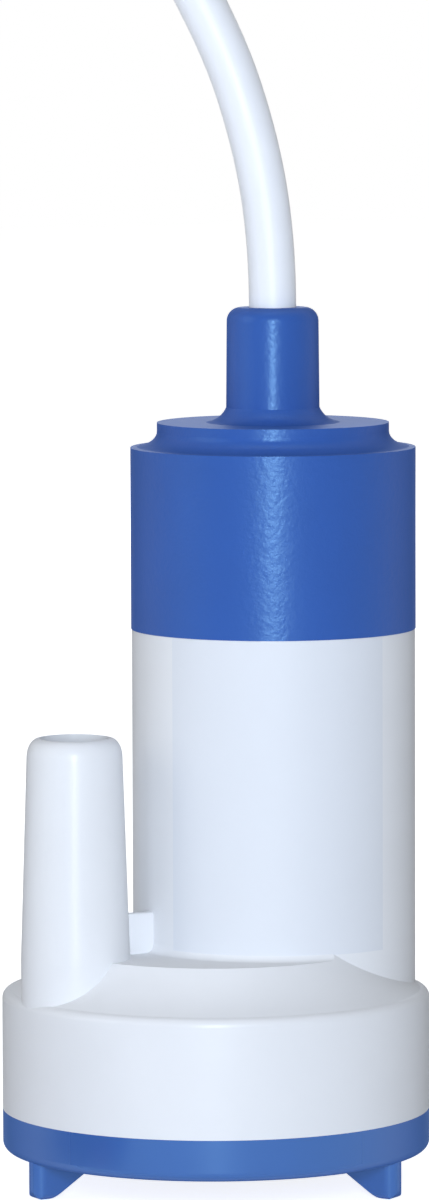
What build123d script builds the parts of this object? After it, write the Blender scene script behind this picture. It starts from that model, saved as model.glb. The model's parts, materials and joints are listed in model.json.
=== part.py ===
from build123d import *
import os
from math import cos, pi, radians, sin, sqrt, tan

# Submersible water pump for a caravan's fresh water tank, in millimetres.
# Z is up. The origin is the centre of the round pump bowl, on the surface that the feet stand on.
# The motor tube and the hose spigot both lie on the X axis, the spigot on the -X side.

os.makedirs("parts", exist_ok=True)

# Cuts run past the faces they start from by this much
overrun = 1.0

# Fits: gap round a turning shaft, between pieces that slide together, and at a piece's free end
running_gap = 0.05
slip_gap = 0.1
end_gap = 0.3

# Pump bowl and its dished top
bowl_radius = 28.5
bowl_wall = 2.6
bowl_wall_height = 15.9
rim_fillet = 1.1
rim_inset = 1.2
dish_sag = 0.5
dish_rise = 5.5
plateau_inset = 7.8

# Suction cover and its feet
cover_height = 5.54
cover_fillet = 1.2
suction_radius = 6.0
suction_chamfer = 0.8
foot_height = 4.7
foot_count = 3
foot_thickness = 3.15
foot_inset = 0.4
foot_tip_round = 1.4
foot_flat = 1.1
foot_heel_round = 1.8
foot_side_round = 0.9
foot_slope = 33.0
lug_count_each_side = 2
lug_length = 6.0
lug_thickness = 1.6
lug_height = 2.2
lug_first_angle = 78.0
lug_step_angle = 52.0
cover_seal_width = 1.2
cover_seal_depth = 1.0
cover_seal_round = 0.35

# Motor tube, its neck under the cap, and the web to the spigot
tube_share = 0.6631579
tube_inset = 0.6
tube_height = 42.3
neck_step = 1.5
neck_height = 10.0
neck_chamfer = 0.6
neck_wall = 1.2
tube_foot_share = 0.29
web_thickness = 1.5
web_rise = 5.4
web_fillet = 0.35

# Hose spigot
spigot_inset = 0.1
spigot_foot_radius = 7.2
spigot_top_radius = 6.33
spigot_height = 29.2
spigot_bore_radius = 4.55
lip_height = 2.5
lip_land = 0.15

# Pump chamber: a spiral of quarter arcs, each wider than the last by one step
chamber_height = 9.76
chamber_inset = 3.9
spiral_step = 0.9
chamber_wall = 2.0
partition = 4.0
passage_upper_share = 0.93
passage_lower_share = 0.36

# Shaft, its seal and the partition's holes
shaft_radius = 1.5
shaft_hole_radius = 2.1
seal_radius = 5.0
seal_height = 2.8
seal_lip = 0.6

# Impeller
impeller_gap = 1.6
impeller_plate = 1.6
impeller_hub_radius = 4.0
vane_count = 6
vane_thickness = 1.2
vane_start_radius = 5.0
vane_sweep = 50.0
vane_middle_share = 0.6
impeller_floor_gap = 0.7
impeller_roof_gap = 0.9
hub_short = 0.6

# Motor
can_gap = 0.2
can_wall = 1.0
can_height = 33.0
can_fillet = 1.5
boss_radius = 4.5
boss_wall = 0.8
boss_height = 2.0
seat_ring_depth = 2.2
seat_ring_width = 4.0
lower_bearing_height = 4.2
upper_bearing_radius = 3.2
upper_bearing_height = 3.8
magnet_thickness = 3.3
magnet_height = 22.0
magnet_span = 140.0
magnet_lift = 3.5
clip_thickness = 0.8
air_gap = 0.7
core_height = 16.0
core_lift = 6.7
core_hub_share = 0.363636
pole_count = 5
pole_share = 0.236364
shoe_share = 0.163636
shoe_gap_angle = 14.0
coil_build_share = 0.113636
coil_overhang = 2.2
coil_fillet = 0.5
commutator_radius = 3.6
commutator_height = 5.4
commutator_gap = 0.6
commutator_slot = 0.5
commutator_slot_depth = 0.9
collar_radius = 2.6
bell_flange = 1.6
bell_plug = 1.4
bell_boss_height = 2.4
holder_length = 6.2
holder_width = 5.0
holder_height = 4.4
brush_width = 2.6
brush_height = 3.0
brush_length = 3.6
spring_leaf = 0.4
spring_reach = 6.5
terminal_offset = 7.5
terminal_width = 2.8
terminal_thickness = 0.5
terminal_height = 5.2
capacitor_radius = 3.0
capacitor_thickness = 2.2
capacitor_lift = 1.2
capacitor_leg_radius = 0.3
cushion_wall = 2.8

# Cap
cap_overhang = 0.1
cap_side_height = 24.2
cap_bore_depth = 10.4
cap_neck_cover = 2.8
cap_roof = 3.0
scotia_width = 3.54
scotia_height = 2.1
disc_edge_height = 1.2
flare_height = 2.0
flare_width = 2.7
flare_sag = 0.45
gland_foot_radius = 6.22
gland_top_radius = 6.1
gland_height = 13.3
gland_round = 1.8
gland_lip = 3.2
grommet_radius = 4.4
grommet_bore_gap = 0.05
grommet_height = 16.0
cap_seal_width = 1.6
cap_seal_depth = 0.9
cap_seal_round = 0.3
cap_seal_lift = 4.2
clamp_radius = 5.6
clamp_height = 4.2

# Cable
cable_radius = 3.15
tail_below_clamp = 2.0
wire_radius = 0.95
core_wire_radius = 1.1
core_length = 32.0
tip_radius = 0.65
tip_length = 7.0
layer_rise = 6.9
floor_gap = 0.05
turn_pitch = 6.9
outer_turn_radius = 36.0
reversing_radius = 25.6
landing_radius = 34.0

# Radii and places that follow the bowl's size, from the outside in
rim_flat_radius = bowl_radius - rim_inset
plateau_radius = bowl_radius - plateau_inset
foot_outer_radius = bowl_radius - foot_inset
spigot_offset = bowl_radius - spigot_inset - spigot_foot_radius
tube_radius = bowl_radius * tube_share
motor_offset = bowl_radius - tube_inset - tube_radius
web_length = spigot_offset - spigot_foot_radius + motor_offset - tube_radius
neck_radius = tube_radius - neck_step
motor_bay_radius = neck_radius - neck_wall
can_radius = motor_bay_radius - can_gap
seat_ring_radius = can_radius - seat_ring_width
core_radius = can_radius - can_wall - magnet_thickness - air_gap
core_hub_radius = core_radius * core_hub_share
pole_width = core_radius * pole_share
shoe_thickness = core_radius * shoe_share
coil_build = core_radius * coil_build_share
chamber_radius = tube_radius - chamber_inset
impeller_radius = chamber_radius - impeller_gap
cap_radius = tube_radius + cap_overhang
cap_inner_radius = neck_radius - cap_neck_cover

# Heights of the main faces, from the feet up
z_cover = foot_height
z_bowl = z_cover + cover_height
z_rim = z_bowl + bowl_wall_height
z_plateau = z_rim + dish_rise
z_chamber_roof = z_bowl + chamber_height
z_bay_floor = z_chamber_roof + partition
z_motor = z_bay_floor + seat_ring_depth
z_cap = z_plateau + tube_height
z_neck_top = z_cap + neck_height
z_web_top = z_plateau + web_rise
z_mouth = z_plateau + spigot_height
z_can_top = z_motor + can_height
z_bell_top = z_can_top + bell_flange
z_shoulder = z_cap + cap_side_height
z_scotia_top = z_shoulder + scotia_height
z_disc = z_scotia_top + disc_edge_height
z_flare = z_disc + flare_height
z_gland = z_flare + gland_height
z_roof = z_shoulder - cap_roof

# The motor's axis and an upright plane through it, on which turned profiles are drawn
motor_axis = Axis((motor_offset, 0, 0), (0, 0, 1))
turning_plane = Plane(origin=(motor_offset, 0, 0), x_dir=(1, 0, 0), z_dir=(0, -1, 0))


def motor_plane(height):
    """Level plane at this height, centred on the motor's axis."""
    return Plane(origin=(motor_offset, 0, height))


def sagging_arc(start, end, sag):
    """Shallow arc from an outer, lower point to an inner, higher one, that dips below their chord."""
    start, end = Vector(*start), Vector(*end)
    down = (end - start).normalized().rotate(Axis.Z, 90)
    return ThreePointArc(start, (start + end) / 2 + down * sag, end)


def finish(piece, name):
    """Labels a finished piece and writes it."""
    piece.part.label = name
    export_step(piece.part, f"parts/{name}.step")


# Suction cover: a disc with a locating lug ring, a seal groove and three fin feet
foot_nose_radius = foot_thickness / 2
foot_nose_centre = foot_outer_radius - foot_nose_radius
foot_flat_start = foot_outer_radius - foot_tip_round
foot_flat_end = foot_flat_start - foot_flat
foot_slope_end = foot_flat_end - foot_height / tan(radians(foot_slope))
seal_ring_radius = bowl_radius - bowl_wall / 2
lug_centre = bowl_radius - bowl_wall - slip_gap - lug_thickness
lug_angles = [side * (lug_first_angle + step * lug_step_angle)
              for side in (1, -1) for step in range(lug_count_each_side)]

with BuildPart() as foot:
    with BuildSketch(Plane.XZ):
        with BuildLine():
            Polyline(
                (foot_outer_radius, foot_height + cover_fillet),
                (foot_outer_radius, foot_tip_round),
            )
            RadiusArc((foot_outer_radius, foot_tip_round), (foot_flat_start, 0), foot_tip_round)
            Polyline(
                (foot_flat_start, 0),
                (foot_flat_end, 0),
                (foot_slope_end, foot_height),
                (foot_slope_end, foot_height + cover_fillet),
                (foot_outer_radius, foot_height + cover_fillet),
            )
        foot_profile = make_face()
        heel = foot_profile.vertices().sort_by_distance((foot_flat_end, 0))[0]
        fillet(heel, radius=foot_heel_round)
    extrude(amount=foot_thickness, both=True)
    with BuildSketch(Plane.XY):
        with Locations(((foot_slope_end + foot_nose_centre) / 2, 0)):
            Rectangle(foot_nose_centre - foot_slope_end, foot_thickness)
        with Locations((foot_nose_centre, 0)):
            Circle(foot_nose_radius)
    extrude(amount=foot_height + cover_fillet, mode=Mode.INTERSECT)
    with BuildSketch(Plane.YZ):
        with Locations((0, (foot_height + cover_fillet) / 2)):
            across = Rectangle(foot_thickness, foot_height + cover_fillet)
        fillet(across.vertices().group_by(Axis.Y)[0], radius=foot_side_round)
    extrude(amount=foot_outer_radius, mode=Mode.INTERSECT)

with BuildPart() as base_cover:
    with BuildSketch(Plane.XY.offset(z_cover)):
        Circle(bowl_radius)
    extrude(amount=cover_height)
    fillet(base_cover.faces().sort_by(Axis.Z)[0].edges(), radius=cover_fillet)
    with PolarLocations(0, foot_count, start_angle=180):
        add(foot.part)
    for angle in lug_angles:
        with BuildSketch(Plane.XY.offset(z_bowl)):
            with PolarLocations(lug_centre, 1, start_angle=angle):
                Rectangle(lug_thickness, lug_length)
        extrude(amount=lug_height)
    with BuildSketch(Plane.XY.offset(z_bowl)):
        Circle(seal_ring_radius + cover_seal_width / 2 + slip_gap / 2)
        Circle(seal_ring_radius - cover_seal_width / 2 - slip_gap / 2, mode=Mode.SUBTRACT)
    extrude(amount=-cover_seal_depth, mode=Mode.SUBTRACT)
    with BuildSketch(motor_plane(z_cover - overrun)):
        Circle(suction_radius)
    extrude(amount=cover_height + 2 * overrun, mode=Mode.SUBTRACT)
    suction_edges = base_cover.edges().filter_by(GeomType.CIRCLE).filter_by(
        lambda edge: abs(edge.radius - suction_radius) < slip_gap)
    chamfer(suction_edges.sort_by(Axis.Z)[0], length=suction_chamfer)
finish(base_cover, "base_cover")

with BuildPart() as cover_seal:
    with BuildSketch(Plane.XZ):
        with Locations((seal_ring_radius, z_bowl - cover_seal_depth / 2)):
            RectangleRounded(cover_seal_width, cover_seal_depth, cover_seal_round)
    revolve(axis=Axis.Z)
finish(cover_seal, "cover_seal")


# Pump chamber's plan: the spiral, and the passage from its widest end to the spigot
spiral_start_angle = 180.0
spiral_centre = Vector(motor_offset, 0)
spiral_radius = chamber_radius
spiral_shifts = [(0, spiral_step), (-spiral_step, 0), (0, -spiral_step)]
with BuildSketch(Plane.XY) as chamber_plan:
    with BuildLine() as spiral:
        for turn in range(4):
            CenterArc(spiral_centre, spiral_radius, spiral_start_angle + 90 * turn, 90)
            if turn < len(spiral_shifts):
                spiral_centre = spiral_centre + Vector(*spiral_shifts[turn])
                spiral_radius = spiral_radius + spiral_step
        Line(spiral.line.edges()[-1] @ 1, spiral.line.edges()[0] @ 0)
    make_face()
    with BuildLine():
        Polyline(
            (-spigot_offset, spigot_bore_radius),
            (0, chamber_radius * passage_upper_share),
            (motor_offset - chamber_radius * passage_upper_share, -spigot_bore_radius),
            (-spigot_offset, -spigot_bore_radius),
            close=True,
        )
    make_face()
    with Locations((-spigot_offset, 0)):
        Circle(spigot_bore_radius)

with BuildSketch(Plane.XY) as chamber_walls:
    add(chamber_plan.sketch)
    offset(amount=chamber_wall)

# Housing: bowl, dished top, motor tube, web and hose spigot in one moulding
bowl_inner_radius = bowl_radius - bowl_wall
pocket_roof = z_rim - bowl_wall
web_inner = motor_offset - tube_radius + bowl_wall / 2
lip_width = spigot_top_radius - spigot_bore_radius - lip_land
groove_radius = neck_radius - cap_seal_depth

with BuildPart() as pump_housing:
    with BuildSketch(Plane.XZ):
        with BuildLine():
            Polyline(
                (0, z_plateau),
                (0, z_bowl),
                (bowl_radius, z_bowl),
                (bowl_radius, z_rim),
                (rim_flat_radius, z_rim),
            )
            sagging_arc((rim_flat_radius, z_rim), (plateau_radius, z_plateau), dish_sag)
            Line((plateau_radius, z_plateau), (0, z_plateau))
        profile = make_face()
        rim_corner = profile.vertices().sort_by_distance((bowl_radius, z_rim))[0]
        fillet(rim_corner, radius=min(rim_fillet, rim_inset - slip_gap))
    revolve(axis=Axis.Z)
    with BuildSketch(motor_plane(z_chamber_roof)):
        Circle(tube_radius)
    extrude(amount=z_cap - z_chamber_roof)
    with BuildSketch(motor_plane(z_cap)):
        Circle(neck_radius)
    extrude(amount=neck_height)
    chamfer(pump_housing.faces().sort_by(Axis.Z)[-1].outer_wire().edges(), length=neck_chamfer)
    with BuildSketch(Plane.XZ):
        with Locations(((web_inner - spigot_offset) / 2, (z_rim + z_web_top) / 2)):
            Rectangle(web_inner + spigot_offset, z_web_top - z_rim)
    extrude(amount=web_thickness / 2, both=True)
    web_edges = pump_housing.edges().filter_by(Axis.X).group_by(Axis.Z)[-1]
    fillet(web_edges, radius=web_fillet)
    tube_foot = pump_housing.edges().filter_by(GeomType.CIRCLE).filter_by(
        lambda edge: abs(edge.radius - tube_radius) < slip_gap and abs((edge @ 0.5).Z - z_plateau) < slip_gap)
    fillet(tube_foot, radius=web_length * tube_foot_share)
    with BuildSketch(Plane(origin=(-spigot_offset, 0, 0), x_dir=(1, 0, 0), z_dir=(0, -1, 0))):
        with BuildLine():
            Polyline(
                (spigot_bore_radius + lip_land, z_mouth),
                (0, z_mouth),
                (0, z_chamber_roof),
                (spigot_foot_radius, z_chamber_roof),
                (spigot_foot_radius, z_plateau),
                (spigot_top_radius, z_mouth - lip_height),
            )
            EllipticalCenterArc(
                (spigot_bore_radius + lip_land, z_mouth - lip_height),
                lip_width, lip_height, 0, arc_size=90)
        make_face()
    revolve(axis=Axis((-spigot_offset, 0, 0), (0, 0, 1)))
    with BuildSketch(Plane.XY.offset(z_chamber_roof - overrun)):
        with Locations((-spigot_offset, 0)):
            Circle(spigot_bore_radius)
    extrude(amount=z_mouth - z_chamber_roof + 2 * overrun, mode=Mode.SUBTRACT)
    with BuildSketch(Plane.XY.offset(z_bowl)):
        add(chamber_plan.sketch)
    extrude(amount=chamber_height, mode=Mode.SUBTRACT)
    with BuildSketch(Plane.XY.offset(z_bowl)):
        Circle(bowl_inner_radius)
        add(chamber_walls.sketch, mode=Mode.SUBTRACT)
    extrude(amount=pocket_roof - z_bowl, mode=Mode.SUBTRACT)
    with BuildSketch(turning_plane):
        with BuildLine():
            Polyline(
                (0, z_chamber_roof - overrun),
                (shaft_hole_radius, z_chamber_roof - overrun),
                (shaft_hole_radius, z_bay_floor - seal_height - slip_gap),
                (seal_radius + running_gap, z_bay_floor - seal_height - slip_gap),
                (seal_radius + running_gap, z_bay_floor),
                (seat_ring_radius, z_bay_floor),
                (seat_ring_radius, z_motor),
                (motor_bay_radius, z_motor),
                (motor_bay_radius, z_neck_top + overrun),
                (0, z_neck_top + overrun),
                close=True,
            )
        make_face()
    revolve(axis=motor_axis, mode=Mode.SUBTRACT)
    with BuildSketch(motor_plane(z_cap + cap_seal_lift)):
        Circle(neck_radius + overrun)
        Circle(groove_radius, mode=Mode.SUBTRACT)
    extrude(amount=cap_seal_width + slip_gap, mode=Mode.SUBTRACT)
finish(pump_housing, "pump_housing")

with BuildPart() as cap_seal:
    with BuildSketch(turning_plane):
        with Locations((groove_radius + cap_seal_depth / 2, z_cap + cap_seal_lift + cap_seal_width / 2)):
            RectangleRounded(cap_seal_depth, cap_seal_width, cap_seal_round)
    revolve(axis=motor_axis)
finish(cap_seal, "cap_seal")

# Cap: a stepped blue cover with the cable's neck
cap_bore_radius = neck_radius + running_gap
neck_bore_radius = cable_radius + slip_gap
grommet_pocket_radius = grommet_radius + grommet_bore_gap

with BuildPart() as top_cap:
    with BuildSketch(turning_plane):
        with BuildLine():
            Polyline(
                (neck_bore_radius, z_gland),
                (neck_bore_radius, z_gland - gland_lip),
                (grommet_pocket_radius, z_gland - gland_lip),
                (grommet_pocket_radius, z_roof),
                (cap_inner_radius, z_roof),
                (cap_inner_radius, z_cap + cap_bore_depth),
                (cap_bore_radius, z_cap + cap_bore_depth),
                (cap_bore_radius, z_cap),
                (cap_radius, z_cap),
                (cap_radius, z_shoulder),
            )
            EllipticalCenterArc((cap_radius, z_scotia_top), scotia_width, scotia_height, 180, arc_size=90)
            Polyline(
                (cap_radius - scotia_width, z_scotia_top),
                (cap_radius - scotia_width, z_disc),
                (gland_foot_radius + flare_width, z_disc),
            )
            sagging_arc((gland_foot_radius + flare_width, z_disc), (gland_foot_radius, z_flare), flare_sag)
            Polyline(
                (gland_foot_radius, z_flare),
                (gland_top_radius, z_gland),
                (neck_bore_radius, z_gland),
            )
        cap_profile = make_face()
        gland_corner = cap_profile.vertices().sort_by_distance((gland_top_radius, z_gland))[0]
        fillet(gland_corner, radius=gland_round)
    revolve(axis=motor_axis)
finish(top_cap, "top_cap")

with BuildPart() as cable_grommet:
    with BuildSketch(motor_plane(z_gland - gland_lip - grommet_height)):
        Circle(grommet_radius)
        Circle(cable_radius + grommet_bore_gap, mode=Mode.SUBTRACT)
    extrude(amount=grommet_height)
finish(cable_grommet, "cable_grommet")

z_clamp = z_roof - end_gap - clamp_height
with BuildPart() as cable_clamp:
    with BuildSketch(motor_plane(z_clamp)):
        Circle(clamp_radius)
        Circle(cable_radius + running_gap, mode=Mode.SUBTRACT)
    extrude(amount=clamp_height)
    chamfer(cable_clamp.faces().sort_by(Axis.Z)[0].outer_wire().edges(), length=slip_gap * 5)
finish(cable_clamp, "cable_clamp")

# Impeller: a back plate, a hub and vanes that hang towards the suction eye. It turns anticlockwise
# seen from above, so that each vane trails outwards.
z_vanes = z_bowl + impeller_floor_gap
z_impeller_top = z_chamber_roof - impeller_roof_gap
vane_end_angle = -radians(vane_sweep)
vane_middle_radius = (vane_start_radius + impeller_radius) / 2
vane_middle_angle = vane_end_angle * vane_middle_share

with BuildSketch(Plane.XY) as vane_plan:
    with BuildLine():
        ThreePointArc(
            (vane_start_radius - vane_thickness, 0),
            (vane_middle_radius * cos(vane_middle_angle), vane_middle_radius * sin(vane_middle_angle)),
            (impeller_radius * cos(vane_end_angle), impeller_radius * sin(vane_end_angle)),
        )
    trace(line_width=vane_thickness)

with BuildPart() as impeller:
    with BuildSketch(motor_plane(z_vanes)):
        with PolarLocations(0, vane_count):
            add(vane_plan.sketch)
    extrude(amount=z_impeller_top - z_vanes)
    with BuildSketch(motor_plane(z_vanes)):
        Circle(impeller_radius)
    extrude(amount=z_impeller_top - z_vanes, mode=Mode.INTERSECT)
    with BuildSketch(motor_plane(z_impeller_top - impeller_plate)):
        Circle(impeller_radius)
    extrude(amount=impeller_plate)
    with BuildSketch(motor_plane(z_vanes + hub_short)):
        Circle(impeller_hub_radius)
    extrude(amount=z_impeller_top - z_vanes - hub_short)
    with BuildSketch(motor_plane(z_vanes)):
        Circle(shaft_radius)
    extrude(amount=z_impeller_top - z_vanes + overrun, mode=Mode.SUBTRACT)
finish(impeller, "impeller")

# Bearings and the faces that the rotor runs between
z_lower_bearing = z_motor - boss_height + boss_wall
z_lower_bearing_top = z_lower_bearing + lower_bearing_height
z_upper_bearing_top = z_bell_top + bell_boss_height - can_wall
z_upper_bearing = z_upper_bearing_top - upper_bearing_height
z_core = z_motor + core_lift
z_core_top = z_core + core_height
z_commutator = z_core_top + coil_overhang + commutator_gap
z_commutator_top = z_commutator + commutator_height
lower_bearing_radius = boss_radius - boss_wall
bearing_bore = shaft_radius + running_gap

with BuildPart() as motor_shaft:
    with BuildSketch(motor_plane(z_vanes + hub_short)):
        Circle(shaft_radius)
    extrude(amount=z_upper_bearing_top - end_gap - z_vanes - hub_short)
    chamfer(motor_shaft.edges().filter_by(GeomType.CIRCLE), length=end_gap)
finish(motor_shaft, "motor_shaft")

with BuildPart() as shaft_seal:
    with BuildSketch(turning_plane):
        with BuildLine():
            Polyline(
                (bearing_bore, z_bay_floor - seal_height),
                (seal_radius, z_bay_floor - seal_height),
                (seal_radius, z_bay_floor),
                (seal_radius - seal_lip, z_bay_floor),
                (seal_radius - seal_lip, z_bay_floor - seal_height / 2),
                (bearing_bore + seal_lip, z_bay_floor - seal_height / 2),
                (bearing_bore, z_bay_floor - seal_lip),
                close=True,
            )
        make_face()
    revolve(axis=motor_axis)
finish(shaft_seal, "shaft_seal")

for bearing_name, foot_z, outer, length in (
    ("lower_bearing", z_lower_bearing, lower_bearing_radius, lower_bearing_height),
    ("upper_bearing", z_upper_bearing, upper_bearing_radius, upper_bearing_height),
):
    with BuildPart() as bearing:
        with BuildSketch(motor_plane(foot_z)):
            Circle(outer)
            Circle(bearing_bore, mode=Mode.SUBTRACT)
        extrude(amount=length)
    finish(bearing, bearing_name)

# Rotor: slotted core, a coil round each pole, commutator and thrust collars
with BuildPart() as rotor_core:
    with BuildSketch(motor_plane(z_core)):
        Circle(core_radius)
        Circle(core_radius - shoe_thickness, mode=Mode.SUBTRACT)
        with PolarLocations(core_radius, pole_count, start_angle=180 / pole_count):
            Rectangle(2 * shoe_thickness + coil_build,
                      2 * core_radius * tan(radians(shoe_gap_angle / 2)), mode=Mode.SUBTRACT)
        Circle(core_hub_radius)
        with PolarLocations((core_radius - shoe_thickness + core_hub_radius / 2) / 2, pole_count):
            Rectangle(core_radius - core_hub_radius / 2, pole_width)
        Circle(shaft_radius, mode=Mode.SUBTRACT)
    extrude(amount=core_height)
finish(rotor_core, "rotor_core")

coil_inner = core_hub_radius + coil_build / 2
coil_width = pole_width + 2 * coil_build
coil_outer = sqrt((core_radius - shoe_thickness) ** 2 - (coil_width / 2) ** 2) - slip_gap
with BuildPart() as rotor_windings:
    for pole in range(pole_count):
        around = motor_plane(z_core - coil_overhang).rotated((0, 0, 360 / pole_count * pole))
        with BuildSketch(around):
            with Locations(((coil_inner + coil_outer) / 2, 0)):
                Rectangle(coil_outer - coil_inner, coil_width)
        extrude(amount=core_height + 2 * coil_overhang)
    fillet(rotor_windings.edges().filter_by(Axis.Z, reverse=True), radius=coil_fillet)
    with BuildSketch(motor_plane(z_core)):
        with PolarLocations((coil_inner + coil_outer) / 2, pole_count):
            Rectangle(coil_outer - coil_inner + 2 * overrun, pole_width)
    extrude(amount=core_height, mode=Mode.SUBTRACT)
finish(rotor_windings, "rotor_windings")

with BuildPart() as commutator:
    with BuildSketch(motor_plane(z_commutator)):
        Circle(commutator_radius)
        Circle(shaft_radius, mode=Mode.SUBTRACT)
        with PolarLocations(commutator_radius, pole_count, start_angle=180 / pole_count):
            Rectangle(2 * commutator_slot_depth, commutator_slot, mode=Mode.SUBTRACT)
    extrude(amount=commutator_height)
finish(commutator, "commutator")

with BuildPart() as thrust_collars:
    for foot_z, top_z in (
        (z_lower_bearing_top + end_gap, z_core),
        (z_commutator_top, z_upper_bearing - end_gap),
    ):
        with BuildSketch(motor_plane(foot_z)):
            Circle(collar_radius)
            Circle(shaft_radius, mode=Mode.SUBTRACT)
        extrude(amount=top_z - foot_z)
finish(thrust_collars, "thrust_collars")

# Stator: drawn steel can with a bearing cup, two arc magnets and the clips between them
with BuildPart() as motor_can:
    with BuildSketch(turning_plane):
        with BuildLine():
            Polyline(
                (bearing_bore + end_gap, z_motor - boss_height),
                (boss_radius, z_motor - boss_height),
                (boss_radius, z_motor),
                (can_radius, z_motor),
                (can_radius, z_can_top),
                (can_radius - can_wall, z_can_top),
                (can_radius - can_wall, z_motor + can_wall),
                (lower_bearing_radius, z_motor + can_wall),
                (lower_bearing_radius, z_lower_bearing),
                (bearing_bore + end_gap, z_lower_bearing),
                close=True,
            )
        can_profile = make_face()
        can_corner = can_profile.vertices().sort_by_distance((can_radius, z_motor))[0]
        fillet(can_corner, radius=can_fillet)
    revolve(axis=motor_axis)
finish(motor_can, "motor_can")

magnet_outer = can_radius - can_wall
z_magnets = z_motor + can_wall + magnet_lift


def arc_segment(outer, thickness, height, middle_angle, span):
    """Plan of a curved block round the motor's axis, as wide as the span in degrees."""
    half = radians(span / 2)
    inner = outer - thickness
    with BuildSketch(motor_plane(height).rotated((0, 0, middle_angle))) as segment:
        with BuildLine():
            ThreePointArc((outer * cos(half), -outer * sin(half)), (outer, 0),
                          (outer * cos(half), outer * sin(half)))
            Line((outer * cos(half), outer * sin(half)), (inner * cos(half), inner * sin(half)))
            ThreePointArc((inner * cos(half), inner * sin(half)), (inner, 0),
                          (inner * cos(half), -inner * sin(half)))
            Line((inner * cos(half), -inner * sin(half)), (outer * cos(half), -outer * sin(half)))
        make_face()
    return segment.sketch


with BuildPart() as field_magnets:
    for middle in (0, 180):
        extrude(arc_segment(magnet_outer, magnet_thickness, z_magnets, middle, magnet_span),
                amount=magnet_height)
finish(field_magnets, "field_magnets")

with BuildPart() as magnet_clips:
    for middle in (90, 270):
        extrude(arc_segment(magnet_outer, clip_thickness, z_magnets, middle, 180 - magnet_span),
                amount=magnet_height)
finish(magnet_clips, "magnet_clips")

# End bell with two brush holders, the brushes and their leaf springs
z_bell_plug = z_can_top - bell_plug
z_holder = z_commutator + (commutator_height - holder_height) / 2
z_brush = z_holder + (holder_height - brush_height) / 2
holder_start = commutator_radius + end_gap * 2
brush_start = commutator_radius + running_gap
brush_end = brush_start + brush_length
terminal_plane_offset = terminal_offset + terminal_thickness / 2

with BuildPart() as motor_end_bell:
    with BuildSketch(turning_plane):
        with BuildLine():
            Polyline(
                (upper_bearing_radius, z_bell_plug),
                (can_radius - can_wall - running_gap, z_bell_plug),
                (can_radius - can_wall - running_gap, z_can_top),
                (can_radius, z_can_top),
                (can_radius, z_bell_top),
                (upper_bearing_radius + can_wall, z_bell_top),
                (upper_bearing_radius + can_wall, z_bell_top + bell_boss_height),
                (0, z_bell_top + bell_boss_height),
                (0, z_upper_bearing_top),
                (upper_bearing_radius, z_upper_bearing_top),
                close=True,
            )
        make_face()
    revolve(axis=motor_axis)
    with BuildSketch(motor_plane(z_holder)):
        with PolarLocations(holder_start + holder_length / 2, 2, start_angle=90):
            Rectangle(holder_length, holder_width)
    extrude(amount=z_bell_plug - z_holder)
    with BuildSketch(motor_plane(z_brush - running_gap)):
        with PolarLocations(holder_start + holder_length / 2, 2, start_angle=90):
            Rectangle(holder_length + 2 * overrun, brush_width + 2 * running_gap)
    extrude(amount=brush_height + 2 * running_gap, mode=Mode.SUBTRACT)
    with BuildSketch(motor_plane(z_bell_plug - overrun)):
        with PolarLocations(terminal_plane_offset, 2):
            Rectangle(terminal_thickness, terminal_width)
    extrude(amount=z_bell_top - z_bell_plug + 2 * overrun, mode=Mode.SUBTRACT)
finish(motor_end_bell, "motor_end_bell")

with BuildPart() as carbon_brushes:
    with BuildSketch(motor_plane(z_brush)):
        with PolarLocations(brush_start + brush_length / 2, 2, start_angle=90):
            Rectangle(brush_length, brush_width)
    extrude(amount=brush_height)
finish(carbon_brushes, "carbon_brushes")

spring_height = brush_height / 2
with BuildPart() as brush_springs:
    for middle in (90, 270):
        leaf_plane = motor_plane(z_brush + spring_height / 2).rotated((0, 0, middle))
        with BuildSketch(leaf_plane):
            with BuildLine():
                Polyline(
                    (brush_end + spring_leaf / 2, -brush_width / 2 + spring_leaf),
                    (brush_end + spring_leaf / 2, brush_width / 2 - spring_leaf),
                    (holder_start + holder_length + spring_leaf, 0),
                    (holder_start + holder_length + spring_leaf, -spring_reach),
                )
            trace(line_width=spring_leaf)
        extrude(amount=spring_height)
finish(brush_springs, "brush_springs")

with BuildPart() as motor_terminals:
    with BuildSketch(motor_plane(z_bell_plug - slip_gap)):
        with PolarLocations(terminal_plane_offset, 2):
            Rectangle(terminal_thickness, terminal_width)
    extrude(amount=z_bell_top - z_bell_plug + slip_gap + terminal_height)
finish(motor_terminals, "motor_terminals")

z_capacitor = z_bell_top + bell_boss_height + capacitor_lift + capacitor_radius
z_legs = z_capacitor - capacitor_radius + 2 * capacitor_leg_radius
with BuildPart() as suppressor_capacitor:
    with BuildSketch(turning_plane):
        with Locations((0, z_capacitor)):
            Circle(capacitor_radius)
    extrude(amount=capacitor_thickness / 2, both=True)
    fillet(suppressor_capacitor.edges(), radius=capacitor_thickness / 4)
    with BuildSketch(Plane(origin=(motor_offset, 0, z_legs), x_dir=(0, 1, 0), z_dir=(1, 0, 0))):
        Circle(capacitor_leg_radius)
    extrude(amount=terminal_offset, both=True)
finish(suppressor_capacitor, "suppressor_capacitor")

# Foam sleeve that the cap presses onto the motor
with BuildPart() as motor_cushion:
    with BuildSketch(motor_plane(z_bell_top)):
        Circle(can_radius)
        Circle(can_radius - cushion_wall, mode=Mode.SUBTRACT)
    extrude(amount=z_cap + cap_bore_depth - z_bell_top)
finish(motor_cushion, "motor_cushion")

# Cable inside the cap, and its two wires down to the terminals
z_tail = z_clamp - tail_below_clamp
with BuildPart() as cable_tail:
    with BuildSketch(motor_plane(z_tail)):
        Circle(cable_radius)
    extrude(amount=z_gland - z_tail)
finish(cable_tail, "cable_tail")

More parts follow.
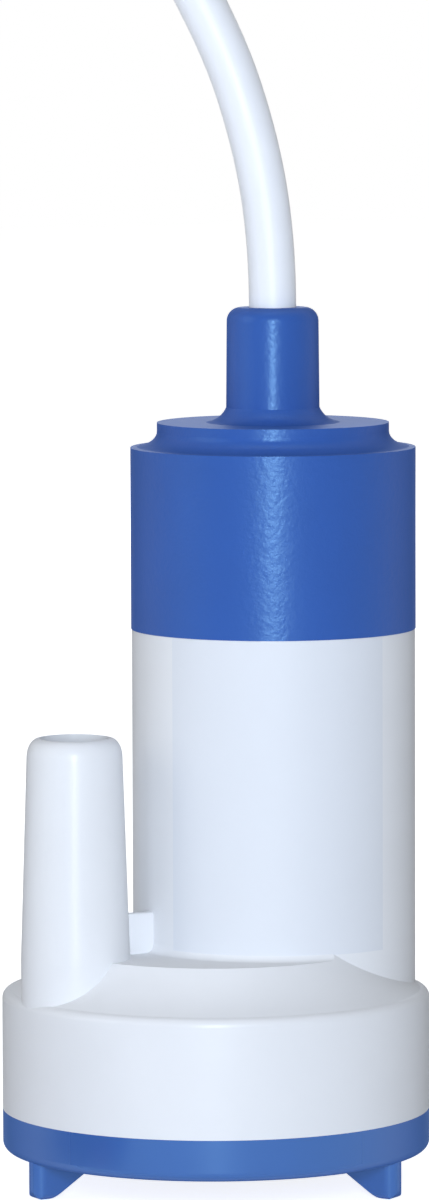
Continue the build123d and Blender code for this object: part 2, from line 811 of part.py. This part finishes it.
wire_x = terminal_offset + terminal_thickness + wire_radius
wire_top_x = cable_radius / 2
z_wire = z_bell_top + terminal_height / 2
wire_bend_radius = 6 * wire_radius
with BuildPart() as lead_wires:
    for side in (1, -1):
        with BuildLine() as wire_route:
            FilletPolyline(
                (motor_offset + side * wire_x, 0, z_wire),
                (motor_offset + side * wire_x, 0, z_wire + (z_tail - z_wire) / 3),
                (motor_offset + side * wire_top_x, 0, z_tail - (z_tail - z_wire) / 3),
                (motor_offset + side * wire_top_x, 0, z_tail),
                radius=wire_bend_radius,
            )
        with BuildSketch(Plane(origin=(motor_offset + side * wire_x, 0, z_wire))):
            Circle(wire_radius)
        sweep(path=wire_route.line)
finish(lead_wires, "lead_wires")

# Free cable: up out of the neck, over in an arch and down beside the pump.
# Each point gives how far along the arch's direction it lies, and how high above the neck's mouth.
arch_angle = 142.0
arch_points = [
    (0, 0),
    (0, 7.8),
    (2.0, 21.3),
    (6.9, 36.3),
    (18.5, 56.4),
    (40.5, 65.5),
    (63.55, 59.3),
    (78.0, 40.4),
    (79.2, 5.3),
    (78.0, -32.7),
]
arch_direction = Vector(cos(radians(arch_angle)), sin(radians(arch_angle)), 0)
gland_mouth = Vector(motor_offset, 0, z_gland)
z_lower_layer = cable_radius + floor_gap
z_upper_layer = z_lower_layer + layer_rise
z_coil_start = z_upper_layer + landing_radius + 2 * cable_radius
lead_end = gland_mouth + arch_direction * arch_points[-1][0]
lead_end = Vector(lead_end.X, lead_end.Y, z_coil_start)
lead_points = [gland_mouth + arch_direction * along + Vector(0, 0, up) for along, up in arch_points]
lead_points.append(lead_end)

lead_radii = []
for before, corner, after in zip(lead_points, lead_points[1:], lead_points[2:]):
    shorter = min((corner - before).length, (after - corner).length)
    turn = (corner - before).get_angle(after - corner)
    lead_radii.append(0.45 * shorter / tan(radians(turn / 2)))
print("cable route radii", [round(radius, 1) for radius in lead_radii])

with BuildPart() as cable_lead:
    with BuildLine() as lead_route:
        FilletPolyline(*lead_points, radius=lead_radii)
    with BuildSketch(Plane(origin=gland_mouth)):
        Circle(cable_radius)
    sweep(path=lead_route.line)
finish(cable_lead, "cable_lead")

# Coil on the floor: a landing bend, a layer that winds in, a turn that reverses and drops a layer,
# and a layer that winds out again
coil_x = lead_end.X - landing_radius
coil_y = lead_end.Y - outer_turn_radius
half_pitch = turn_pitch / 2


def half_turn(start_y, end_y, height):
    """Half a turn from one point of the coil's middle line to the other, anticlockwise."""
    middle = (start_y + end_y) / 2
    reach = (start_y - end_y) / 2
    return ThreePointArc((coil_x, coil_y + start_y, height), (coil_x - reach, coil_y + middle, height),
                         (coil_x, coil_y + end_y, height))


upper_places = [outer_turn_radius, -outer_turn_radius, outer_turn_radius - turn_pitch,
                turn_pitch - outer_turn_radius]
reversed_place = upper_places[-1] + 2 * reversing_radius
lower_places = [reversed_place, half_pitch - outer_turn_radius, outer_turn_radius - half_pitch,
                -half_pitch - outer_turn_radius]
reversing_reach = sqrt(reversing_radius**2 + (layer_rise / 2) ** 2)
reversing_middle = Vector(coil_x + reversing_reach, coil_y + upper_places[-1] + reversing_radius,
                          (z_upper_layer + z_lower_layer) / 2)

with BuildPart() as cable_coil:
    with BuildLine() as coil_route:
        landing_start = Vector(lead_end.X, lead_end.Y, z_upper_layer + landing_radius)
        Line(lead_end, landing_start)
        TangentArc(landing_start, (coil_x, lead_end.Y, z_upper_layer), tangent=(0, 0, -1))
        for start_y, end_y in zip(upper_places, upper_places[1:]):
            half_turn(start_y, end_y, z_upper_layer)
        TangentArc((coil_x, coil_y + upper_places[-1], z_upper_layer), reversing_middle,
                   tangent=(1, 0, 0))
        TangentArc(reversing_middle, (coil_x, coil_y + reversed_place, z_lower_layer),
                   tangent=(0, reversing_radius, -layer_rise / 2))
        for start_y, end_y in zip(lower_places, lower_places[1:]):
            half_turn(start_y, end_y, z_lower_layer)
        coil_end = Vector(coil_x, coil_y + lower_places[-1], z_lower_layer)
        Line(coil_end, coil_end + Vector(2 * cable_radius, 0, 0))
    with BuildSketch(Plane(origin=lead_end, z_dir=(0, 0, -1))):
        Circle(cable_radius)
    sweep(path=coil_route.line)
finish(cable_coil, "cable_coil")
jacket_end = coil_end + Vector(2 * cable_radius, 0, 0)


def least_gap(route, radius):
    """Least gap between a tube and itself, measured on points of its middle line."""
    step = radius / 2
    count = int(route.length / step)
    points = [route.position_at(index / count) for index in range(count + 1)]
    apart = int(4 * pi * radius / step)
    return min((points[a] - points[b]).length
               for a in range(0, count + 1, 3) for b in range(a + apart, count + 1)) - 2 * radius


coil_wire = coil_route.wires()[0]
lead_wire = lead_route.wires()[0]
print("coil's least gap to itself", round(least_gap(coil_wire, cable_radius), 2))
print("cable length outside the cap", round(coil_wire.length + lead_wire.length, 1))
for tube, route in ((cable_lead, lead_wire), (cable_coil, coil_wire)):
    print(tube.part.label, "volume over section times length",
          round(tube.part.volume / (pi * cable_radius**2 * route.length), 4))

# The two cores and their stripped tips lie on along the coil's outside
core_spread = cable_radius / 2
core_turn_radius = outer_turn_radius + half_pitch
with BuildPart() as core_ends:
    for side in (1, -1):
        start = jacket_end + Vector(0, side * core_spread, 0)
        bend_radius = core_turn_radius - side * core_spread
        with BuildLine() as core_route:
            JernArc(start, (1, 0, 0), bend_radius, core_length / core_turn_radius * 180 / pi)
        with BuildSketch(Plane(origin=start, x_dir=(0, 1, 0), z_dir=(1, 0, 0))):
            Circle(core_wire_radius)
        sweep(path=core_route.line)
finish(core_ends, "core_ends")

core_turn = core_length / core_turn_radius
bend_centre = jacket_end + Vector(0, core_turn_radius, 0)
with BuildPart() as core_tips:
    for side in (1, -1):
        bend_radius = core_turn_radius - side * core_spread
        start = bend_centre + Vector(sin(core_turn), -cos(core_turn), 0) * bend_radius
        with BuildSketch(Plane(origin=start, z_dir=(cos(core_turn), sin(core_turn), 0))):
            Circle(tip_radius)
        extrude(amount=tip_length)
finish(core_tips, "core_tips")
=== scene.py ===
import json
import math

import bpy
from mathutils import Euler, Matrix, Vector


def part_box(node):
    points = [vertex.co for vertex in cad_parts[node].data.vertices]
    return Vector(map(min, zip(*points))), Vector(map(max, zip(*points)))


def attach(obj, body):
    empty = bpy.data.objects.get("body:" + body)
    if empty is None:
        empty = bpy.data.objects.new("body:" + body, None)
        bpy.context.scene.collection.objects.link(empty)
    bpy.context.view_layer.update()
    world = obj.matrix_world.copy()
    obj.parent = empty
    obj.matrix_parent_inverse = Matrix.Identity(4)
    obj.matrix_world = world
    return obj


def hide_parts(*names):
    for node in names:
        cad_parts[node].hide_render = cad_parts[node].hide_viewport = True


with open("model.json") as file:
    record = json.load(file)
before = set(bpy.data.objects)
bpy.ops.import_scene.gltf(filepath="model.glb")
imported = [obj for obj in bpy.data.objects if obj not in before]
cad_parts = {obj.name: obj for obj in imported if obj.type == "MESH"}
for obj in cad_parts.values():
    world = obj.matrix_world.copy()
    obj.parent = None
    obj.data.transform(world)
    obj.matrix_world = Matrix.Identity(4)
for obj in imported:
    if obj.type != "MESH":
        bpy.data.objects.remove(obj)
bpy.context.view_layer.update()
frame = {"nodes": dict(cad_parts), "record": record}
nodes = frame["nodes"]
MM = 0.001
WHITE_LIGHT = (1.0, 1.0, 1.0, 1.0)

# Camera, as fitted to the photograph: it looks at a point on the bowl's axis
PHOTO_HEIGHT = 1200
SENSOR = 36.0
FOCAL_PIXELS = 7000.0
CAMERA_AZIMUTH = -29.3
CAMERA_PITCH = 5.2
CAMERA_ROLL = -0.19
CAMERA_DISTANCE = 0.9297
LOOK_AT = Vector((0.0, 0.0, 0.07806))
NEAREST_SEEN = 0.01
FARTHEST_SEEN = 20.0


def direction_from(azimuth, elevation):
    """Unit vector from the object towards a viewer at this azimuth and elevation, in degrees."""
    a, e = math.radians(azimuth), math.radians(elevation)
    return Vector((math.sin(a) * math.cos(e), -math.cos(a) * math.cos(e), math.sin(e)))


def make_camera():
    """The camera that saw the photograph: same place, lens and small roll."""
    data = bpy.data.cameras.new("camera")
    data.sensor_width = SENSOR
    data.lens = SENSOR * FOCAL_PIXELS / PHOTO_HEIGHT
    data.clip_start = NEAREST_SEEN
    data.clip_end = FARTHEST_SEEN
    camera = bpy.data.objects.new("camera", data)
    bpy.context.scene.collection.objects.link(camera)
    back = direction_from(CAMERA_AZIMUTH, CAMERA_PITCH)
    camera.location = LOOK_AT + back * CAMERA_DISTANCE
    turn = (-back).to_track_quat("-Z", "Y")
    roll = Euler((0, 0, math.radians(CAMERA_ROLL))).to_quaternion()
    camera.rotation_mode = "QUATERNION"
    camera.rotation_quaternion = turn @ roll
    bpy.context.scene.camera = camera


# Node helpers
class Nodes:
    """A material's or world's node tree, with short calls for nodes and links."""

    def __init__(self, owner):
        owner.use_nodes = True
        self.tree = owner.node_tree
        self.tree.nodes.clear()

    def add(self, kind, **inputs):
        node = self.tree.nodes.new(kind)
        for name, value in inputs.items():
            node.inputs[name.replace("_", " ")].default_value = value
        return node

    def link(self, start, end):
        self.tree.links.new(start, end)

    def shown_rays(self):
        """1 for the rays that show a backdrop: the camera's, mirrored and refracted ones."""
        path = self.add("ShaderNodeLightPath")
        shown = path.outputs["Is Camera Ray"]
        for kind in ("Is Glossy Ray", "Is Transmission Ray"):
            either = self.add("ShaderNodeMath")
            either.operation = "MAXIMUM"
            self.link(shown, either.inputs[0])
            self.link(path.outputs[kind], either.inputs[1])
            shown = either.outputs[0]
        return shown


# What all surfaces share: how soft their blotches are, and where the gloss starts and ends to fade
BLOTCH_DETAIL = 3.0
BLOTCH_ROUGHNESS = 0.55
BLOTCH_LOW = 0.3
BLOTCH_HIGH = 0.7
POLISH_DETAIL = 1.0
BUMP_DETAIL = 2.0
FACING_BLEND = 0.5
RIM_START = 0.25
RIM_END = 0.75


def colour(red, green, blue):
    """A colour given as it shows on screen, 0 to 255, as the renderer's linear values."""
    def linear(value):
        share = value / 255
        return share / 12.92 if share <= 0.04045 else ((share + 0.055) / 1.055) ** 2.4
    return (linear(red), linear(green), linear(blue), 1.0)


def surface(name, base, roughness, shade=0.03, blotch=90.0, grain=2600.0, grain_depth=0.004,
            wave=120.0, wave_depth=0.02, uneven=0.1, metallic=0.0, gloss=0.5,
            tint=WHITE_LIGHT, rim_roughness=None):
    """A moulded, drawn or turned surface: slow colour blotches, uneven polish and a fine grain.

    Grain and wave are noise scales, and their depths are in millimetres. With a rim roughness the
    gloss fades where the surface turns away, as on a grained mould."""
    material = bpy.data.materials.new(name)
    n = Nodes(material)
    out = n.add("ShaderNodeOutputMaterial")
    shader = n.add("ShaderNodeBsdfPrincipled", Metallic=metallic)
    shader.inputs["Specular IOR Level"].default_value = gloss
    shader.inputs["Specular Tint"].default_value = tint
    shader.inputs["Roughness"].default_value = roughness
    n.link(shader.outputs["BSDF"], out.inputs["Surface"])
    place = n.add("ShaderNodeTexCoord")

    clouds = n.add("ShaderNodeTexNoise", Scale=blotch, Detail=BLOTCH_DETAIL,
                   Roughness=BLOTCH_ROUGHNESS)
    n.link(place.outputs["Object"], clouds.inputs["Vector"])
    ramp = n.add("ShaderNodeValToRGB")
    low, high = ramp.color_ramp.elements
    low.position, high.position = BLOTCH_LOW, BLOTCH_HIGH
    low.color = tuple(c * (1 - shade) for c in base[:3]) + (1.0,)
    high.color = tuple(min(c * (1 + shade), 1.0) for c in base[:3]) + (1.0,)
    n.link(clouds.outputs["Fac"], ramp.inputs["Fac"])
    n.link(ramp.outputs["Color"], shader.inputs["Base Color"])

    if rim_roughness:
        turned = n.add("ShaderNodeLayerWeight", Blend=FACING_BLEND)
        fade = n.add("ShaderNodeMapRange")
        fade.inputs["From Min"].default_value = RIM_START
        fade.inputs["From Max"].default_value = RIM_END
        fade.inputs["To Min"].default_value = roughness
        fade.inputs["To Max"].default_value = rim_roughness
        n.link(turned.outputs["Facing"], fade.inputs["Value"])
        n.link(fade.outputs["Result"], shader.inputs["Roughness"])
    elif uneven:
        polish = n.add("ShaderNodeTexNoise", Scale=blotch, Detail=POLISH_DETAIL)
        n.link(place.outputs["Object"], polish.inputs["Vector"])
        spread = n.add("ShaderNodeMapRange")
        spread.inputs["To Min"].default_value = roughness * (1 - uneven)
        spread.inputs["To Max"].default_value = roughness * (1 + uneven)
        n.link(polish.outputs["Fac"], spread.inputs["Value"])
        n.link(spread.outputs["Result"], shader.inputs["Roughness"])

    fine = n.add("ShaderNodeTexNoise", Scale=grain, Detail=BUMP_DETAIL)
    slow = n.add("ShaderNodeTexNoise", Scale=wave, Detail=BUMP_DETAIL)
    n.link(place.outputs["Object"], fine.inputs["Vector"])
    n.link(place.outputs["Object"], slow.inputs["Vector"])
    slow_bump = n.add("ShaderNodeBump", Strength=1.0, Distance=wave_depth * MM)
    fine_bump = n.add("ShaderNodeBump", Strength=1.0, Distance=grain_depth * MM)
    n.link(slow.outputs["Fac"], slow_bump.inputs["Height"])
    n.link(fine.outputs["Fac"], fine_bump.inputs["Height"])
    n.link(slow_bump.outputs["Normal"], fine_bump.inputs["Normal"])
    n.link(fine_bump.outputs["Normal"], shader.inputs["Normal"])
    return material


BLUE = colour(44, 82, 160)
BLUE_SHEEN = (0.45, 0.8, 1.0, 1.0)
GRAINED_BLUE = dict(base=BLUE, roughness=0.31, shade=0.03, gloss=0.45, tint=BLUE_SHEEN,
                    grain=1700.0, grain_depth=0.03, wave=900.0, wave_depth=0.035)

LOOKS = {
    "white_plastic": dict(base=colour(230, 231, 233), roughness=0.3, shade=0.01, gloss=0.25,
                          grain_depth=0.001, wave_depth=0.012, rim_roughness=1.0),
    "blue_plastic": dict(GRAINED_BLUE, rim_roughness=0.8),
    "cable_jacket": dict(base=colour(235, 237, 241), roughness=0.45, shade=0.01),
    "wire_jacket": dict(base=colour(120, 66, 40), roughness=0.45),
    "seal_rubber": dict(base=colour(32, 32, 34), roughness=0.7),
    "clamp_plastic": dict(base=colour(44, 44, 46), roughness=0.5),
    "impeller_plastic": dict(base=colour(214, 212, 200), roughness=0.4),
    "shaft_steel": dict(base=colour(190, 190, 192), roughness=0.25, metallic=1.0),
    "core_steel": dict(base=colour(140, 140, 142), roughness=0.45, metallic=1.0),
    "can_steel": dict(base=colour(186, 186, 190), roughness=0.35, metallic=1.0),
    "bronze": dict(base=colour(190, 150, 92), roughness=0.4, metallic=1.0),
    "copper": dict(base=colour(190, 112, 74), roughness=0.35, metallic=1.0),
    "ferrite": dict(base=colour(52, 52, 55), roughness=0.7),
    "carbon": dict(base=colour(34, 34, 34), roughness=0.6),
    "capacitor_coat": dict(base=colour(196, 122, 50), roughness=0.35),
    "foam": dict(base=colour(62, 62, 66), roughness=0.95, grain=1800.0, grain_depth=0.2),
    "blue_plastic_cover": dict(base=colour(52, 90, 162), roughness=0.23, shade=0.02, gloss=0.9,
                               tint=BLUE_SHEEN, grain_depth=0.001, wave_depth=0.008,
                               rim_roughness=0.9),
    "blue_plastic_disc": dict(GRAINED_BLUE, rim_roughness=0.64),
    "wire_jacket_blue": dict(base=colour(48, 78, 140), roughness=0.45),
    "tube_film": dict(base=colour(222, 225, 230), roughness=0.5, shade=0.005, gloss=0.2,
                      grain_depth=0.001, wave_depth=0.006, uneven=0.0),
}
materials = {name: surface(name, **look) for name, look in LOOKS.items()}

# Where the cap's flat tops begin, in millimetres, and how level a face has to be to count as one
FLAT_TOPS_ABOVE = 90.0
LEVEL = 0.99

# The motor's axis stands off the bowl's axis, in millimetres
MOTOR_OFFSET = 9.0


def dress_nodes():
    """Gives each node of the frame its slot's material, and the base cover a smoother, slightly
    lighter blue.
    """
    slots = {row["node"]: row["material_slot"] for row in frame["record"]["subparts"]}
    slots["base_cover"] = "blue_plastic_cover"
    for name, node in nodes.items():
        node.data.materials.clear()
        node.data.materials.append(materials[slots[name]])
        for polygon in node.data.polygons:
            polygon.material_index = 0


def polish_flat_tops():
    """Gives the level tops of the cap's disc and neck a smoother face than the cap's grained sides."""
    cap = nodes["top_cap"]
    cap.data.materials.append(materials["blue_plastic_disc"])
    for polygon in cap.data.polygons:
        middle = cap.matrix_world @ polygon.center
        if polygon.normal.z > LEVEL and middle.z > FLAT_TOPS_ABOVE * MM:
            polygon.material_index = 1


def colour_second_wire():
    """Colours one of the cable's two cores, and its lead to the motor, blue instead of brown."""
    turn_radius = (OUTER_TURN + TURN_PITCH / 2) * MM
    pivot = cable_points()[-1] + Vector((0, turn_radius, 0))
    for name in ("core_ends", "lead_wires"):
        mesh = nodes[name].data
        mesh.materials.append(materials["wire_jacket_blue"])
        for polygon in mesh.polygons:
            middle = nodes[name].matrix_world @ polygon.center
            if name == "core_ends":
                second = (middle - pivot).xy.length > turn_radius
            else:
                second = middle.x < MOTOR_OFFSET * MM
            polygon.material_index = 1 if second else 0


# Cable, in millimetres: the arch's points are along its direction and above the neck's mouth
CABLE_RADIUS = 3.15
ARCH_ANGLE = 142.0
ARCH_POINTS = [
    (0, 0),
    (0, 7.8),
    (2.0, 21.3),
    (6.9, 36.3),
    (18.5, 56.4),
    (40.5, 65.5),
    (63.55, 59.3),
    (78.0, 40.4),
    (79.2, 5.3),
    (78.0, -32.7),
]
LAYER_RISE = 6.9
FLOOR_GAP = 0.05
TURN_PITCH = 6.9
OUTER_TURN = 36.0
REVERSING_RADIUS = 25.6
LANDING_RADIUS = 34.0
POINTS_PER_HALF_TURN = 12
CURVE_ORDER = 3
CURVE_STEPS = 8
ROUND_STEPS = 12


def cable_points():
    """The free cable's control points, in metres: the arch, then the landing and the coil's turns."""
    mouth = Vector((MOTOR_OFFSET, 0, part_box("top_cap")[1].z / MM))
    along = Vector((math.cos(math.radians(ARCH_ANGLE)), math.sin(math.radians(ARCH_ANGLE)), 0))
    points = [mouth + along * out + Vector((0, 0, up)) for out, up in ARCH_POINTS]
    lower = CABLE_RADIUS + FLOOR_GAP
    upper = lower + LAYER_RISE
    landing = mouth + along * ARCH_POINTS[-1][0]
    landing.z = upper + LANDING_RADIUS + 2 * CABLE_RADIUS
    points.append(landing.copy())
    centre = Vector((landing.x - LANDING_RADIUS, landing.y - OUTER_TURN, 0))
    # The curve runs inside its control points, so these stand a little outside the turn
    grow = 1 / math.cos(math.pi / 2 / POINTS_PER_HALF_TURN) ** 0.5

    quarter = POINTS_PER_HALF_TURN // 2
    for step in range(quarter):
        turn = math.radians(90 * (step + 0.5) / quarter)
        points.append(Vector((
            centre.x + LANDING_RADIUS * grow * math.cos(turn),
            landing.y,
            upper + LANDING_RADIUS - LANDING_RADIUS * grow * math.sin(turn),
        )))

    def half_turn(start_y, end_y, start_z, end_z):
        """Adds the points of half a turn, whose height eases from its start to its end."""
        middle, reach = (start_y + end_y) / 2, (start_y - end_y) / 2
        for step in range(POINTS_PER_HALF_TURN):
            share = (step + 0.5) / POINTS_PER_HALF_TURN
            turn = math.radians(90 + 180 * share)
            ease = share * share * (3 - 2 * share)
            height = start_z + (end_z - start_z) * ease
            points.append(Vector((
                centre.x + reach * grow * math.cos(turn),
                centre.y + middle + reach * grow * math.sin(turn),
                height,
            )))

    upper_places = [OUTER_TURN, -OUTER_TURN, OUTER_TURN - TURN_PITCH, TURN_PITCH - OUTER_TURN]
    reversed_place = upper_places[-1] + 2 * REVERSING_RADIUS
    lower_places = [reversed_place, TURN_PITCH / 2 - OUTER_TURN, OUTER_TURN - TURN_PITCH / 2,
                    -TURN_PITCH / 2 - OUTER_TURN]
    for start_y, end_y in zip(upper_places, upper_places[1:]):
        half_turn(start_y, end_y, upper, upper)
    half_turn(upper_places[-1], reversed_place, upper, lower)
    for start_y, end_y in zip(lower_places, lower_places[1:]):
        half_turn(start_y, end_y, lower, lower)
    points.append(Vector((centre.x, centre.y + lower_places[-1], lower)))
    points.append(Vector((centre.x + 2 * CABLE_RADIUS, centre.y + lower_places[-1], lower)))
    return [point * MM for point in points]


def make_cable():
    """The free cable as one smooth cord, in place of the frame's two plainer pieces."""
    points = cable_points()
    data = bpy.data.curves.new("cable", "CURVE")
    data.dimensions = "3D"
    data.resolution_u = CURVE_STEPS
    data.bevel_depth = CABLE_RADIUS * MM
    data.bevel_resolution = ROUND_STEPS
    data.use_fill_caps = True
    spline = data.splines.new("NURBS")
    spline.points.add(len(points) - 1)
    for place, point in zip(spline.points, points):
        place.co = (point.x, point.y, point.z, 1.0)
    spline.order_u = CURVE_ORDER
    spline.use_endpoint_u = True
    cable = bpy.data.objects.new("cable", data)
    bpy.context.scene.collection.objects.link(cable)
    data.materials.append(materials["cable_jacket"])
    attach(cable, "housing")
    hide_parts("cable_lead", "cable_coil")


# Bare film on the front of the motor tube, in millimetres and degrees round the motor's axis
TUBE_RADIUS = 18.9
FILM_THICKNESS = 0.08
FILM_SUNK = 0.03
FILM_BOTTOM = 32.3
FILM_TOP_GAP = 0.1
FILM_START = 195.6
FILM_END = 289.4
FILM_STEPS = 96
SHARP_ANGLE = 30.0
UPRIGHT = 0.5


def make_film():
    """A thin closed sheet wrapped round the tube, up to the cap's lower edge."""
    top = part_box("top_cap")[0].z / MM - FILM_TOP_GAP
    inner, outer = TUBE_RADIUS - FILM_SUNK, TUBE_RADIUS + FILM_THICKNESS
    corners = [(inner, FILM_BOTTOM), (outer, FILM_BOTTOM), (outer, top), (inner, top)]
    count = len(corners)
    points = []
    for step in range(FILM_STEPS + 1):
        turn = math.radians(FILM_START + (FILM_END - FILM_START) * step / FILM_STEPS)
        for radius, height in corners:
            across = MOTOR_OFFSET + radius * math.cos(turn)
            points.append(Vector((across, radius * math.sin(turn), height)) * MM)
    end_faces = [
        tuple(range(count)),
        tuple(FILM_STEPS * count + k for k in reversed(range(count))),
    ]
    faces = list(end_faces)
    for step in range(FILM_STEPS):
        first = step * count
        for k in range(count):
            after = (k + 1) % count
            faces.append((first + k, first + count + k, first + count + after, first + after))
    mesh = bpy.data.meshes.new("tube_film")
    mesh.from_pydata(points, [], faces)
    for polygon in mesh.polygons:
        upright = abs(polygon.normal.z) < UPRIGHT
        polygon.use_smooth = upright and polygon.index >= len(end_faces)
    mesh.set_sharp_from_angle(angle=math.radians(SHARP_ANGLE))
    mesh.materials.append(materials["tube_film"])
    film = bpy.data.objects.new("tube_film", mesh)
    bpy.context.scene.collection.objects.link(film)
    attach(film, "housing")


# Studio: a pale floor, a white background and soft lamps, in metres and watts
AMBIENT_COLOUR = (1.0, 0.98, 0.96, 1.0)
AMBIENT_STRENGTH = 0.21
FLOOR_REACH = 3.0
FLOOR_PAINT = (0.86, 0.86, 0.87, 1.0)
FLOOR_GLOW = 0.82
COOL = (0.78, 0.87, 1.0)
LAMPS_AIM = Vector((0, 0, 0.06))


def make_world():
    """Soft light from all round, shown as plain white behind the object."""
    world = bpy.data.worlds.new("studio")
    bpy.context.scene.world = world
    n = Nodes(world)
    out = n.add("ShaderNodeOutputWorld")
    light = n.add("ShaderNodeBackground", Color=AMBIENT_COLOUR, Strength=AMBIENT_STRENGTH)
    backdrop = n.add("ShaderNodeBackground", Color=WHITE_LIGHT, Strength=1.0)
    mix = n.add("ShaderNodeMixShader")
    n.link(n.shown_rays(), mix.inputs["Fac"])
    n.link(light.outputs[0], mix.inputs[1])
    n.link(backdrop.outputs[0], mix.inputs[2])
    n.link(mix.outputs[0], out.inputs["Surface"])


def make_floor():
    """A flat floor that shows nearly white, yet keeps the object's shadow."""
    mesh = bpy.data.meshes.new("floor")
    signs = [(-1, -1), (1, -1), (1, 1), (-1, 1)]
    corners = [(x * FLOOR_REACH, y * FLOOR_REACH, 0) for x, y in signs]
    mesh.from_pydata(corners, [], [tuple(range(len(corners)))])
    floor = bpy.data.objects.new("floor", mesh)
    bpy.context.scene.collection.objects.link(floor)
    material = bpy.data.materials.new("floor")
    n = Nodes(material)
    out = n.add("ShaderNodeOutputMaterial")
    paint = n.add("ShaderNodeBsdfDiffuse", Color=FLOOR_PAINT)
    glow = n.add("ShaderNodeEmission", Color=WHITE_LIGHT, Strength=FLOOR_GLOW)
    both = n.add("ShaderNodeAddShader")
    mix = n.add("ShaderNodeMixShader")
    n.link(paint.outputs[0], both.inputs[0])
    n.link(glow.outputs[0], both.inputs[1])
    n.link(n.shown_rays(), mix.inputs["Fac"])
    n.link(paint.outputs[0], mix.inputs[1])
    n.link(both.outputs[0], mix.inputs[2])
    n.link(mix.outputs[0], out.inputs["Surface"])
    mesh.materials.append(material)


def make_lamp(name, azimuth, height, distance, width, tall, power, tint=WHITE_LIGHT[:3]):
    """A soft box whose middle stands at this height, turned to the lamps' common aim."""
    data = bpy.data.lights.new(name, "AREA")
    data.shape = "RECTANGLE"
    data.size = width
    data.size_y = tall
    data.energy = power
    data.color = tint
    lamp = bpy.data.objects.new(name, data)
    bpy.context.scene.collection.objects.link(lamp)
    lamp.location = direction_from(azimuth, 0) * distance + Vector((0, 0, height))
    aim = LAMPS_AIM - lamp.location
    lamp.rotation_mode = "QUATERNION"
    lamp.rotation_quaternion = aim.to_track_quat("-Z", "Y")


def make_lamps():
    """A narrow lamp by the camera, for the upright streaks, and three soft boxes round the pump."""
    make_lamp("key", azimuth=CAMERA_AZIMUTH, height=0.26, distance=1.15,
              width=0.06, tall=0.5, power=10.4, tint=COOL)
    make_lamp("left_box", azimuth=CAMERA_AZIMUTH - 70, height=0.55, distance=1.3,
              width=0.8, tall=1.0, power=3.0)
    make_lamp("top_box", azimuth=CAMERA_AZIMUTH, height=1.5, distance=0.25,
              width=1.0, tall=1.0, power=2.1)
    make_lamp("back_box", azimuth=CAMERA_AZIMUTH + 180, height=0.5, distance=1.2,
              width=0.8, tall=0.5, power=3.6, tint=COOL)


make_camera()
dress_nodes()
polish_flat_tops()
colour_second_wire()
make_cable()
make_film()
make_world()
make_floor()
make_lamps()
bpy.context.scene.view_settings.view_transform = "Standard"
